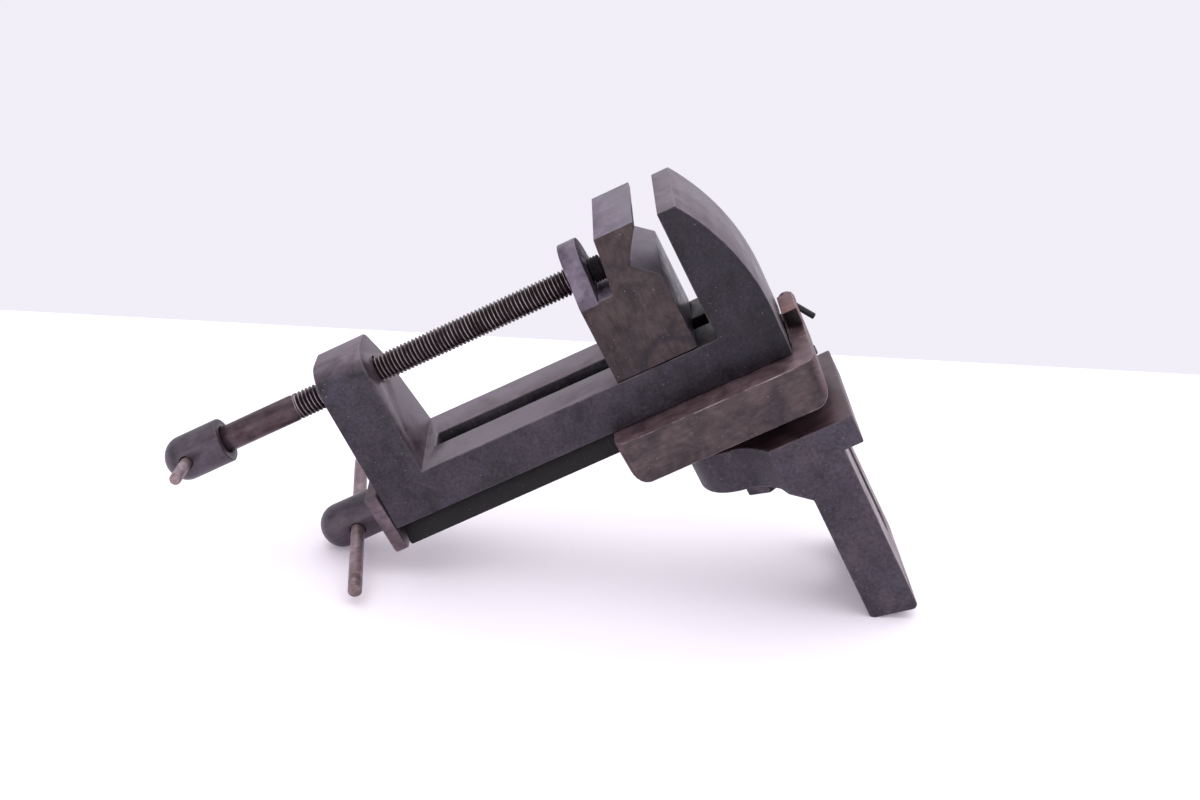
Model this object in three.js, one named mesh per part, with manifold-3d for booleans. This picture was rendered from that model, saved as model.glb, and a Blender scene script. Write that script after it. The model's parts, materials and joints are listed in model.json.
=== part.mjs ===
// Small bench vise on a slotted angle bracket. Millimetres, +Z up.
// The origin is the middle of the bracket's long slot, on the plate's mounting face.
// X points out of that face and Y runs across the plate, towards the back of the vise.
import * as THREE from "three";
import { mergeVertices } from "three/addons/utils/BufferGeometryUtils.js";
import Module from "manifold-3d";

const wasm = await Module();
wasm.setup();

// ---- driving sizes ----
const gap = 0.3; // seating gap between neighbouring pieces

const plateThickness = 14.6;
const plateFront = -30.1;
const plateBack = 22;
const plateBottom = -30.8;
const ledgeDepth = 6.1;
const ledgeThickness = 9.4;
const armTop = 35.8;
const armThickness = 14.2;
const armRadius = 18.8;
const mountSlotWidth = 14;
const mountSlotLength = 39;

const pivotX = -27.4;
const pivotBoltDiameter = 7.8;
const pivotHeadDiameter = 15.6;
const pivotHeadHeight = 7.5;
const washerThickness = 1.2;
const discDiameter = 32;
const discThickness = 5.5;

const slideLength = 63.8;
const slideRight = 3.5;
const slideThickness = 14.8;
const slideFront = -30.1;
const slideBack = 14;
const slideCornerRadius = 5;

const bodyLength = 130.6;
const bodyWidth = 40;
const bedHeight = 13.7;
const bedWebHeight = 9.5; // underside of the bed's web above the body's underside
const bedSlotWidth = 9;
const channelWidth = 15;
const lugThickness = 15.6;
const lugHeight = 54.9;
const fixedJawHeight = 55.7;
const fixedJawThickness = 18.1;
const fixedJawBackRadius = 71.9;
const fixedJawBackStart = 15.3; // height where the curved back begins

const jawOpening = 6.3;
const jawLength = 25.8;
const jawShoulderHeight = 39.1;
const jawHeadHeight = 56.7;
const earThickness = 5.8;
const earRadius = 10.5;

const clampAxisY = -4.5;
const clampAxisHeight = 43.6;
const clampScrewDiameter = 8;
const clampJournalDiameter = 6;
const clampHeadDiameter = 14;
const clampHeadLength = 20.4;
const clampHeadOffset = 37.2; // from the body's left end to the head's inner face
const clampThreadOverhang = 12; // thread left of the lug at rest
const clampBarDiameter = 3.6;
const clampBarLength = 33;
const clampBarReach = 21; // front end from the screw's axis
const clampBarTilt = 5; // degrees, front end up

const railHeight = 7.2;
const railFlank = 3.5; // how far each dovetail flank leans out
const railFront = -18;
const railBack = 10.5;
const endPlateThickness = 3.9;
const endPlateTop = 13;

const feedAxisHeight = 0.7;
const feedScrewDiameter = 6;
const feedHeadDiameter = 14;
const feedHeadLength = 23.1;
const feedTravel = 30;
const feedBarDiameter = 4.3;
const feedBarLength = 72;
const feedBarReach = 39; // front end from the screw's axis
const feedBarTilt = -9; // degrees, front end down

const stopBlockLength = 4.9;
const stopBlockHeight = 5.2;
const stopBlockFront = -0.7;
const stopBlockBack = 13.8;
const stopBlockGap = 0.7; // between the stop block and the body

const lockShankDiameter = 2.2;
const lockHeadDiameter = 5.4;
const lockHeadLength = 5.4;
const lockPinDiameter = 2;
const lockPinReach = 10.1;
const lockPinAngle = -57; // degrees from +X towards +Z

// ---- derived places ----
const discBottom = armTop + gap;
const slideBottom = discBottom + discThickness + gap;
const slideTop = slideBottom + slideThickness;
const bodyUnderside = slideTop + gap;
const slideLeft = slideRight - slideLength;
const stopBlockLeft = slideRight - stopBlockLength;
const bodyRight = stopBlockLeft - stopBlockGap;
const bodyLeft = bodyRight - bodyLength;
const bodyHalf = bodyWidth / 2;
const lugRight = bodyLeft + lugThickness;
const fixedJawFace = bodyRight - fixedJawThickness;
const jawFace = fixedJawFace - jawOpening;
const jawLeft = jawFace - jawLength;
const earRight = jawLeft + earThickness;
const channelLeft = lugRight + 1.1;
const channelRight = bodyRight - 11.9;
const bedSlotLeft = lugRight + 3.6;
const bedSlotRight = fixedJawFace - 0.8;
const endPlateRight = bodyLeft - gap;
const endPlateLeft = endPlateRight - endPlateThickness;
const clampHeadRight = bodyLeft - clampHeadOffset;
const clampBarX = clampHeadRight - 12.4;
const feedHeadRight = endPlateLeft - 0.4;
const feedBarX = feedHeadRight - 10.7;
const nutLeft = slideLeft + 2.3;
const nutLength = 12;
const nutWidth = 8.4;
const nutTop = 6.2;
const nutMiddle = nutLeft + nutLength / 2;
const railLeft = bodyLeft + 0.6;
const railRight = bodyRight - 0.7;
const railTop = -gap;
const railBottom = railTop - railHeight;
const grooveFloor = railBottom - gap;
const feedBore = feedScrewDiameter / 2 + gap;
const collarRadius = 4.9;
const collarLength = 2.8;
const collarLeft = bodyLeft - 0.1;

// ---- solids ----
// A closed geometry as a solid whose faces point outwards.
function solidOf(geometry) {
  const plain = geometry.clone();
  plain.deleteAttribute("normal");
  plain.deleteAttribute("uv");
  const merged = mergeVertices(plain, 1e-3);
  const vertProperties = new Float32Array(merged.attributes.position.array);
  const triVerts = new Uint32Array(merged.index.array);
  const made = new wasm.Manifold(new wasm.Mesh({ numProp: 3, vertProperties, triVerts }));
  if (made.volume() >= 0) return made;
  for (let i = 0; i < triVerts.length; i += 3) {
    [triVerts[i + 1], triVerts[i + 2]] = [triVerts[i + 2], triVerts[i + 1]];
  }
  return new wasm.Manifold(new wasm.Mesh({ numProp: 3, vertProperties, triVerts }));
}

// A solid as a flat shaded geometry.
function geometryOf(solid) {
  const mesh = solid.getMesh();
  const geometry = new THREE.BufferGeometry();
  geometry.setAttribute(
    "position",
    new THREE.BufferAttribute(new Float32Array(mesh.vertProperties), 3),
  );
  geometry.setIndex(new THREE.BufferAttribute(new Uint32Array(mesh.triVerts), 1));
  const flat = geometry.toNonIndexed();
  flat.computeVertexNormals();
  return flat;
}

// An outline of corners [x, y, radius]; a corner with no radius stays sharp.
function outline(corners, steps = 6) {
  const points = [];
  corners.forEach(([x, y, radius = 0], i) => {
    const corner = new THREE.Vector2(x, y);
    if (radius === 0) {
      points.push(corner);
      return;
    }
    const before = corners[(i + corners.length - 1) % corners.length];
    const after = corners[(i + 1) % corners.length];
    const toBefore = new THREE.Vector2(before[0] - x, before[1] - y).normalize();
    const toAfter = new THREE.Vector2(after[0] - x, after[1] - y).normalize();
    const half = Math.acos(THREE.MathUtils.clamp(toBefore.dot(toAfter), -1, 1)) / 2;
    const reach = radius / Math.tan(half);
    const inward = toBefore.clone().add(toAfter).normalize();
    const middle = inward.multiplyScalar(radius / Math.sin(half)).add(corner);
    const start = corner.clone().addScaledVector(toBefore, reach).sub(middle);
    const end = corner.clone().addScaledVector(toAfter, reach).sub(middle);
    const turn = Math.atan2(start.cross(end), start.dot(end));
    for (let s = 0; s <= steps; s++) {
      points.push(start.clone().rotateAround(new THREE.Vector2(), (turn * s) / steps).add(middle));
    }
  });
  return points;
}

// Points along an arc, angles in degrees.
function arc(cx, cy, radius, from, to, steps) {
  return Array.from({ length: steps + 1 }, (_, i) => {
    const a = THREE.MathUtils.degToRad(from + ((to - from) * i) / steps);
    return new THREE.Vector2(cx + radius * Math.cos(a), cy + radius * Math.sin(a));
  });
}

function extruded(points, depth) {
  const shape = new THREE.Shape(points.map((p) => (p.isVector2 ? p : new THREE.Vector2(p[0], p[1]))));
  return new THREE.ExtrudeGeometry(shape, { depth, bevelEnabled: false, curveSegments: 8 });
}

// An outline in X and Z, run along Y.
function alongY(points, y0, y1) {
  return solidOf(extruded(points, y1 - y0).rotateX(Math.PI / 2).translate(0, y1, 0));
}

// An outline in Y and Z, run along X.
function alongX(points, x0, x1) {
  const turn = new THREE.Matrix4().makeBasis(
    new THREE.Vector3(0, 1, 0),
    new THREE.Vector3(0, 0, 1),
    new THREE.Vector3(1, 0, 0),
  );
  return solidOf(extruded(points, x1 - x0).applyMatrix4(turn).translate(x0, 0, 0));
}

// An outline in X and Y, run along Z.
function alongZ(points, z0, z1) {
  return solidOf(extruded(points, z1 - z0).translate(0, 0, z0));
}

function box(x0, x1, y0, y1, z0, z1) {
  const geometry = new THREE.BoxGeometry(x1 - x0, y1 - y0, z1 - z0);
  return solidOf(geometry.translate((x0 + x1) / 2, (y0 + y1) / 2, (z0 + z1) / 2));
}

// A round piece about an axis from a closed profile of [distance along it, radius].
const axisTurns = {
  x: (g) => g.rotateZ(-Math.PI / 2),
  y: (g) => g,
  z: (g) => g.rotateX(Math.PI / 2),
};
function turned(axis, profile, at = [0, 0, 0], segments = 40) {
  const geometry = new THREE.LatheGeometry(profile.map(([h, r]) => new THREE.Vector2(r, h)), segments);
  return solidOf(axisTurns[axis](geometry).translate(...at));
}

function rod(axis, radius, from, to, at = [0, 0, 0], segments = 40) {
  return turned(axis, [[from, 0], [from, radius], [to, radius], [to, 0]], at, segments);
}

// A domed end as profile points, from full radius at `from` to the axis at `to`.
function dome(radius, from, to, steps = 8) {
  return Array.from({ length: steps + 1 }, (_, i) => {
    const a = ((Math.PI / 2) * i) / steps;
    return [from + (to - from) * Math.sin(a), i === steps ? 0 : radius * Math.cos(a)];
  });
}

function join(...solids) {
  return solids.reduce((a, b) => a.add(b));
}

function cut(solid, ...tools) {
  return tools.reduce((a, b) => a.subtract(b), solid);
}

function piece(name, solid, colour, roughness, metalness) {
  const material = new THREE.MeshStandardMaterial({ color: colour, roughness, metalness });
  const mesh = new THREE.Mesh(geometryOf(solid), material);
  mesh.name = name;
  return mesh;
}

const darkIron = [0x2e2b2f, 0.6, 0.7];
const brownSteel = [0x6d6064, 0.5, 0.8];
const blackSteel = [0x1f1d20, 0.45, 0.8];
const paleSteel = [0x8b8590, 0.4, 0.85];
const redSteel = [0x8a6a66, 0.5, 0.7];

// ---- bracket ----
const washerTop = armTop - armThickness - gap;
const pivotHeadTop = washerTop - washerThickness - gap;
const spotfaceRadius = pivotHeadDiameter / 2 + 0.6;

function angleBracket() {
  const armBottom = armTop - armThickness;
  const armEnd = arc(pivotX, 0, armRadius, 90, 255, 26);
  const flare = new THREE.QuadraticBezierCurve(
    armEnd[armEnd.length - 1],
    new THREE.Vector2(pivotX + 0.4, -armRadius),
    new THREE.Vector2(-plateThickness - 5.9, plateFront),
  ).getPoints(8);
  const armOutline = [
    ...armEnd.slice(0, -1),
    ...flare,
    new THREE.Vector2(-1, plateFront),
    new THREE.Vector2(-1, plateBack),
    new THREE.Vector2(-plateThickness, plateBack),
    new THREE.Vector2(-plateThickness, armRadius),
  ];
  const arm = alongZ(armOutline, armBottom, armTop);
  const footLow = plateBottom - 1.6;
  const plateSides = alongX(
    outline([
      [plateFront, armTop],
      [plateFront, footLow],
      [plateBack, footLow, 2.5],
      [plateBack, armTop],
    ]),
    -plateThickness,
    0,
  );
  const plateSection = alongY(
    outline([
      [-plateThickness, armTop],
      [-plateThickness, plateBottom + 1.5, 1.6],
      [0, footLow, 1.6],
      [0, armTop],
    ]),
    plateFront,
    plateBack,
  );
  const plate = plateSides.intersect(plateSection);
  const ledge = box(-1, ledgeDepth, plateFront, plateBack, armTop - ledgeThickness, armTop);
  const gusset = alongY(
    [
      [-plateThickness - 7.3, armBottom + 1],
      [-plateThickness - 7.3, armBottom],
      [-plateThickness, armBottom - 6.5],
      [-plateThickness + 1, armBottom - 6.5],
      [-plateThickness + 1, armBottom + 1],
    ],
    plateFront,
    plateBack,
  );
  const trimmedGusset = gusset.intersect(alongZ(armOutline, armBottom - 8, armTop));
  const slotHalf = mountSlotWidth / 2;
  const slotReach = mountSlotLength / 2 - slotHalf;
  const slotOutline = [
    ...arc(0, slotReach, slotHalf, 0, 180, 16),
    ...arc(0, -slotReach, slotHalf, 180, 360, 16),
  ];
  const slot = alongX(slotOutline, -plateThickness - 9, 1);
  const boltHole = rod("z", pivotBoltDiameter / 2 + gap, 0, 60, [pivotX, 0, 0]);
  const spotface = rod("z", spotfaceRadius, armBottom - 10, armBottom, [pivotX, 0, 0]);
  return cut(join(arm, plate, ledge, trimmedGusset), slot, boltHole, spotface);
}

// ---- swivel and slide base ----
function pivotWasher() {
  const outer = rod(
    "z",
    pivotHeadDiameter / 2 + 0.1,
    washerTop - washerThickness,
    washerTop,
    [pivotX, 0, 0],
  );
  return cut(outer, rod("z", pivotBoltDiameter / 2 + gap, 0, 60, [pivotX, 0, 0]));
}

function pivotBolt() {
  const shankTop = bodyUnderside + grooveFloor - 1;
  const head = rod(
    "z",
    pivotHeadDiameter / 2,
    pivotHeadTop - pivotHeadHeight,
    pivotHeadTop,
    [pivotX, 0, 0],
    6,
  );
  const shank = rod("z", pivotBoltDiameter / 2, pivotHeadTop - 1, shankTop, [pivotX, 0, 0]);
  return join(head, shank);
}

function swivelDisc() {
  const disc = rod("z", discDiameter / 2, discBottom, discBottom + discThickness, [pivotX, 0, 0], 56);
  return cut(disc, rod("z", pivotBoltDiameter / 2 + gap, 0, 60, [pivotX, 0, 0]));
}

// Dovetail section in Y and Z, wider at the bottom, grown by `extra` on both flanks.
function dovetail(bottom, top, extra) {
  return [
    [railFront - extra, bottom],
    [railBack + extra, bottom],
    [railBack - railFlank + extra, top],
    [railFront + railFlank - extra, top],
  ];
}

const nutScrewX = nutMiddle;
const stopScrewX = stopBlockLeft + 2.2;
const stopScrewY = stopBlockFront + 4.2;
const smallScrewRadius = 1.5;
const smallHeadRadius = 2.7;

// Everything from here up is measured from the body's underside.
function slideBase() {
  const bottom = slideBottom - bodyUnderside;
  const top = -gap;
  const side = alongY(
    outline([
      [slideLeft + 1, bottom, 5],
      [slideRight - 0.5, bottom, 5],
      [slideRight, top],
      [slideLeft, top],
    ]),
    slideFront,
    slideBack,
  );
  const plan = alongZ(
    outline([
      [slideLeft, slideFront, slideCornerRadius],
      [slideRight, slideFront, slideCornerRadius],
      [slideRight, slideBack, 2],
      [slideLeft, slideBack, slideCornerRadius],
    ]),
    bottom,
    top,
  );
  const groove = alongX(dovetail(grooveFloor, top + 0.01, gap), slideLeft - 1, bodyRight - 0.1);
  const hole = smallScrewRadius + gap;
  const nutHole = rod("z", hole, bottom - 1, 0, [nutScrewX, 0, 0], 24);
  const nutCounterbore = rod(
    "z",
    smallHeadRadius + gap,
    bottom - 1,
    bottom + 2.6,
    [nutScrewX, 0, 0],
    24,
  );
  const stopHole = rod("z", hole, bottom - 1, 0, [stopScrewX, stopScrewY, 0], 24);
  const stopCounterbore = rod(
    "z",
    smallHeadRadius + gap,
    bottom - 1,
    bottom + 5,
    [stopScrewX, stopScrewY, 0],
    24,
  );
  const boltHole = rod("z", pivotBoltDiameter / 2 + gap, bottom - 1, grooveFloor - 0.5, [pivotX, 0, 0]);
  return cut(
    side.intersect(plan),
    groove,
    nutHole,
    nutCounterbore,
    stopHole,
    stopCounterbore,
    boltHole,
  );
}

function socketScrew(headTopOrBottom, shankEnd, shankRadius, headRadius, headHeight, at) {
  const way = Math.sign(shankEnd - headTopOrBottom);
  const shoulder = headTopOrBottom + way * headHeight;
  return turned(
    "z",
    [
      [headTopOrBottom, 0],
      [headTopOrBottom, headRadius],
      [shoulder, headRadius],
      [shoulder, shankRadius],
      [shankEnd, shankRadius],
      [shankEnd, 0],
    ],
    at,
    24,
  );
}

function feedNut() {
  const block = box(nutLeft, nutLeft + nutLength, -nutWidth / 2, nutWidth / 2, railBottom, nutTop);
  const bore = rod("x", feedBore, nutLeft - 1, nutLeft + nutLength + 1, [0, 0, feedAxisHeight], 32);
  const tapped = rod(
    "z",
    smallScrewRadius + gap,
    railBottom - 1,
    feedAxisHeight - feedBore - 0.9,
    [nutScrewX, 0, 0],
    24,
  );
  return cut(block, bore, tapped);
}

function nutScrew() {
  const bottom = slideBottom - bodyUnderside + 0.2;
  return socketScrew(
    bottom,
    feedAxisHeight - feedBore - 1.2,
    smallScrewRadius,
    smallHeadRadius,
    2.2,
    [nutScrewX, 0, 0],
  );
}

const lockX = stopBlockLeft + 2.4;
const lockHeight = 1.6;
const lockPinY = stopBlockBack + 3.4;

function stopBlock() {
  const block = box(stopBlockLeft, slideRight, stopBlockFront, stopBlockBack, 0, stopBlockHeight);
  const tapped = rod("z", smallScrewRadius + gap, -1, 3.2, [stopScrewX, stopScrewY, 0], 24);
  const lockHole = rod(
    "y",
    lockShankDiameter / 2 + 0.25,
    stopBlockBack - 6,
    stopBlockBack + 1,
    [lockX, 0, lockHeight],
    24,
  );
  return cut(block, tapped, lockHole);
}

function stopBlockScrew() {
  const bottom = slideBottom - bodyUnderside + 2.4;
  return socketScrew(bottom, 2.9, smallScrewRadius, smallHeadRadius, 2.2, [stopScrewX, stopScrewY, 0]);
}

// ---- lock screw, its axis along Y through its own position ----
function lockScrew() {
  const start = stopBlockBack + 0.3;
  const radius = lockHeadDiameter / 2;
  const profile = [
    [stopBlockBack - 5.7, 0],
    [stopBlockBack - 5.7, lockShankDiameter / 2],
    [start, lockShankDiameter / 2],
    [start, radius],
    ...dome(radius, start + lockHeadLength - 1.6, start + lockHeadLength),
  ];
  const body = turned("y", profile, [0, 0, 0], 32);
  return cut(body, lockPinRod(lockPinDiameter / 2 + gap, -lockHeadDiameter, lockHeadDiameter));
}

function lockPinRod(radius, from, to) {
  const a = THREE.MathUtils.degToRad(lockPinAngle);
  const geometry = new THREE.CylinderGeometry(radius, radius, to - from, 24);
  geometry.rotateZ(-Math.PI / 2).translate((from + to) / 2, 0, 0).rotateY(-a).translate(0, lockPinY, 0);
  return solidOf(geometry);
}

function lockPin() {
  return lockPinRod(lockPinDiameter / 2, -lockHeadDiameter / 2, lockPinReach);
}

// ---- vise body ----
const railScrewPlaces = [bodyLeft + 10.7, bodyLeft + 60.7, bodyRight - 6.9];
const railScrewY = railFront + 6.7;
const endScrewY = 14;
const endScrewHeight = 6.5;

function lugOutline() {
  return outline([
    [-bodyHalf, 0],
    [-bodyHalf, lugHeight, 9.5],
    [1.2, lugHeight - 0.4, 6],
    [8.5, lugHeight - 10.4, 3],
    [bodyHalf, bedHeight],
    [bodyHalf, 0],
  ]);
}

function fixedJawOutline() {
  const cx = bodyRight - fixedJawBackRadius;
  const backRise = fixedJawHeight - fixedJawBackStart;
  const rise = THREE.MathUtils.radToDeg(Math.asin(backRise / fixedJawBackRadius));
  return [
    new THREE.Vector2(fixedJawFace, 0),
    new THREE.Vector2(bodyRight - 0.2, 0),
    ...arc(cx, fixedJawBackStart, fixedJawBackRadius, 0, rise, 14),
    new THREE.Vector2(fixedJawFace, fixedJawHeight),
  ];
}

function viseBody() {
  const bed = box(bodyLeft, fixedJawFace + 1, -bodyHalf, bodyHalf, 0, bedHeight);
  const lug = alongX(lugOutline(), bodyLeft, lugRight);
  const fixedJaw = alongY(fixedJawOutline(), -bodyHalf, bodyHalf);
  const channelHalf = channelWidth / 2;
  const channel = box(channelLeft, channelRight, -channelHalf, channelHalf, -1, bedWebHeight);
  const slot = box(
    bedSlotLeft,
    bedSlotRight,
    -bedSlotWidth / 2,
    bedSlotWidth / 2,
    bedWebHeight - 1,
    bedHeight + 1,
  );
  const clampHole = rod(
    "x",
    clampScrewDiameter / 2 + gap,
    bodyLeft - 1,
    lugRight + 1,
    [0, clampAxisY, clampAxisHeight],
  );
  const tools = [channel, slot, clampHole, feedPassage(), collarPocket()];
  railScrewPlaces.forEach((x) => {
    tools.push(rod("z", smallScrewRadius + gap, -1, 8.2, [x, railScrewY, 0], 24));
  });
  [-endScrewY, endScrewY].forEach((y) => {
    tools.push(rod(
      "x",
      smallScrewRadius + gap,
      bodyLeft - 1,
      bodyLeft + 10.3,
      [0, y, endScrewHeight],
      24,
    ));
  });
  return cut(join(bed, lug, fixedJaw), ...tools);
}

function feedPassage() {
  return rod("x", feedScrewDiameter / 2 + 0.5, bodyLeft - 1, bodyRight - 7.4, [0, 0, feedAxisHeight]);
}

function collarPocket() {
  return rod(
    "x",
    collarRadius + gap,
    bodyLeft - 1,
    collarLeft + collarLength + gap,
    [0, 0, feedAxisHeight],
  );
}

function dovetailRail() {
  const bar = alongX(dovetail(railBottom, railTop, 0), railLeft, railRight);
  const ends = alongY(
    outline([
      [railLeft, railBottom, 0.9],
      [railRight, railBottom],
      [railRight, railTop],
      [railLeft, railTop],
    ]),
    railFront - 1,
    railBack + 1,
  );
  const window = box(
    nutLeft - 1,
    nutLeft + nutLength + feedTravel + 1,
    -nutWidth / 2 - 0.4,
    nutWidth / 2 + 0.4,
    railBottom - 1,
    1,
  );
  const tools = [window, feedPassage(), collarPocket()];
  railScrewPlaces.forEach((x) => {
    tools.push(rod("z", smallScrewRadius + gap, railBottom - 1, 1, [x, railScrewY, 0], 24));
    tools.push(rod(
      "z",
      smallHeadRadius + gap,
      railBottom - 1,
      railBottom + 2.6,
      [x, railScrewY, 0],
      24,
    ));
  });
  return cut(bar.intersect(ends), ...tools);
}

function railScrew(x) {
  return socketScrew(railBottom + 0.2, 7.8, smallScrewRadius, smallHeadRadius, 2.2, [x, railScrewY, 0]);
}

function endPlate() {
  const plate = alongX(
    outline([
      [-bodyHalf - 1.4, endPlateTop],
      [-bodyHalf + 0.5, railBottom - 0.3, 2.2],
      [bodyHalf - 2, railBottom - 0.3, 2.2],
      [bodyHalf - 0.5, endPlateTop, 1],
    ]),
    endPlateLeft,
    endPlateRight,
  );
  const tools = [rod("x", feedBore, endPlateLeft - 1, endPlateRight + 1, [0, 0, feedAxisHeight])];
  [-endScrewY, endScrewY].forEach((y) => {
    const at = [0, y, endScrewHeight];
    tools.push(rod("x", smallScrewRadius + gap, endPlateLeft - 1, endPlateRight + 1, at, 24));
    tools.push(rod("x", smallHeadRadius + gap, endPlateLeft - 1, endPlateLeft + 2, at, 24));
  });
  return cut(plate, ...tools);
}

function endPlateScrew(y) {
  const shoulder = endPlateLeft + 1.7;
  const profile = [
    [endPlateLeft + 0.2, 0],
    [endPlateLeft + 0.2, smallHeadRadius],
    [shoulder, smallHeadRadius],
    [shoulder, smallScrewRadius],
    [bodyLeft + 10, smallScrewRadius],
    [bodyLeft + 10, 0],
  ];
  return turned("x", profile, [0, y, endScrewHeight], 24);
}

// ---- feed screw group, its axis along X through its own position ----
function feedScrew() {
  const radius = feedScrewDiameter / 2;
  const tip = nutLeft + nutLength + feedTravel + 3;
  return turned("x", [
    [feedHeadRight - 5, 0],
    [feedHeadRight - 5, radius],
    [tip - 0.8, radius],
    [tip, radius - 0.8],
    [tip, 0],
  ]);
}

function feedCollar() {
  const ring = rod("x", collarRadius, collarLeft, collarLeft + collarLength);
  return cut(ring, rod("x", feedBore, collarLeft - 1, collarLeft + collarLength + 1));
}

// A bar across an axis that runs along X, tilted about that axis; its front end lies towards -Y.
function crossBar(x, radius, tilt, front, back, chamfer) {
  const geometry = new THREE.LatheGeometry(
    [
      [-back, 0],
      [-back, radius - chamfer],
      [-back + chamfer, radius],
      [front - chamfer, radius],
      [front, radius - chamfer],
      [front, 0],
    ].map(([h, r]) => new THREE.Vector2(r, h)),
    24,
  );
  geometry.rotateX(Math.PI).rotateX(-THREE.MathUtils.degToRad(tilt)).translate(x, 0, 0);
  return solidOf(geometry);
}

function feedHead() {
  const radius = feedHeadDiameter / 2;
  const left = feedHeadRight - feedHeadLength;
  const profile = [
    [feedHeadRight, 0],
    [feedHeadRight, radius - 0.6],
    [feedHeadRight - 0.6, radius],
    ...dome(radius, left + 6.5, left, 10),
  ];
  const bore = rod("x", feedBore, feedHeadRight - 5.4, feedHeadRight + 1);
  const barHole = crossBar(
    feedBarX,
    feedBarDiameter / 2 + gap,
    feedBarTilt,
    feedHeadDiameter,
    feedHeadDiameter,
    0.2,
  );
  return cut(turned("x", profile, [0, 0, 0], 48), bore, barHole);
}

function feedBar() {
  return crossBar(
    feedBarX,
    feedBarDiameter / 2,
    feedBarTilt,
    feedBarReach,
    feedBarLength - feedBarReach,
    0.6,
  );
}

// ---- movable jaw ----
const keeperTop = bedHeight;
const keeperPlateTop = bedWebHeight - gap;
const keeperPlateBottom = nutTop + 0.4;
const keeperLeft = jawLeft + 2.3;
const keeperRight = jawFace - 2.5;
const keeperScrewX = (keeperLeft + keeperRight) / 2;
const jawBottom = bedHeight + gap;

function movableJaw() {
  const profile = [
    [jawLeft, jawBottom],
    [jawFace, jawBottom],
    [jawFace, jawShoulderHeight],
    [jawFace - 6.9, jawShoulderHeight + 5.9],
    [jawFace - 5.5, jawShoulderHeight + 8.9],
    [jawFace - 3.1, jawHeadHeight - 4.8],
    [jawFace - 0.9, jawHeadHeight - 1.6],
    [jawFace - 0.8, jawHeadHeight],
    [jawFace - 13.1, jawHeadHeight],
    [jawFace - 13.7, jawHeadHeight - 5.7],
    [jawFace - 15.2, jawShoulderHeight],
    [jawLeft, jawShoulderHeight],
  ];
  const block = alongY(profile, -bodyHalf, bodyHalf);
  const earHeight = clampAxisHeight + 0.6;
  const earOutline = [
    new THREE.Vector2(bodyHalf, jawShoulderHeight - 4),
    new THREE.Vector2(bodyHalf, jawShoulderHeight),
    new THREE.Vector2(clampAxisY + 15.5, jawShoulderHeight + 0.6),
    ...arc(clampAxisY, earHeight, earRadius, 10, 170, 20),
    new THREE.Vector2(-bodyHalf, jawShoulderHeight + 0.6),
    new THREE.Vector2(-bodyHalf, jawShoulderHeight - 4),
  ];
  const ear = alongX(earOutline, jawLeft, earRight);
  const journalHole = rod(
    "x",
    clampJournalDiameter / 2 + gap,
    jawLeft - 1,
    earRight + 1,
    [0, clampAxisY, clampAxisHeight],
  );
  const keeperHole = rod("z", 2 + gap, jawBottom - 1, jawBottom + 12, [keeperScrewX, 0, 0], 24);
  return cut(join(block, ear), journalHole, keeperHole);
}

function jawKeeper() {
  const half = channelWidth / 2 - gap;
  const plate = box(keeperLeft, keeperRight, -half, half, keeperPlateBottom, keeperPlateTop);
  const tongueHalf = bedSlotWidth / 2 - gap;
  const tongue = box(keeperLeft, keeperRight, -tongueHalf, tongueHalf, keeperPlateTop - 1, keeperTop);
  const hole = rod("z", 2 + gap, keeperPlateBottom - 1, keeperTop + 1, [keeperScrewX, 0, 0], 24);
  const counterbore = rod(
    "z",
    3.8,
    keeperPlateBottom - 1,
    keeperPlateBottom + 2.4,
    [keeperScrewX, 0, 0],
    24,
  );
  return cut(join(plate, tongue), hole, counterbore);
}

function keeperScrew() {
  return socketScrew(keeperPlateBottom + 0.1, jawBottom + 11.6, 2, 3.5, 2, [keeperScrewX, 0, 0]);
}

// ---- clamp screw group, its axis along X through its own position ----
const clampNutLeft = earRight + gap;
const clampNutLength = 3.6;

function clampScrew() {
  const thread = clampScrewDiameter / 2;
  const journal = clampJournalDiameter / 2;
  const shoulder = jawLeft - gap;
  const threadEnd = bodyLeft - clampThreadOverhang;
  return turned("x", [
    [clampNutLeft + clampNutLength + 0.4, 0],
    [clampNutLeft + clampNutLength + 0.4, journal - 0.4],
    [clampNutLeft + clampNutLength, journal],
    [shoulder, journal],
    [shoulder, thread],
    [threadEnd, thread],
    [threadEnd, thread + 0.05],
    [clampHeadRight - 8, thread + 0.05],
    [clampHeadRight - 8, 0],
  ]);
}

function clampHead() {
  const radius = clampHeadDiameter / 2;
  const left = clampHeadRight - clampHeadLength;
  const profile = [
    [clampHeadRight, 0],
    [clampHeadRight, radius - 0.4],
    [clampHeadRight - 0.4, radius],
    ...dome(radius, left + 6.5, left, 10),
  ];
  const bore = rod("x", clampScrewDiameter / 2 + 0.05 + gap, clampHeadRight - 8.3, clampHeadRight + 1);
  const barHole = crossBar(
    clampBarX,
    clampBarDiameter / 2 + gap,
    clampBarTilt,
    clampHeadDiameter,
    clampHeadDiameter,
    0.2,
  );
  return cut(turned("x", profile, [0, 0, 0], 48), bore, barHole);
}

function clampBar() {
  return crossBar(
    clampBarX,
    clampBarDiameter / 2,
    clampBarTilt,
    clampBarReach,
    clampBarLength - clampBarReach,
    0.6,
  );
}

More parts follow.
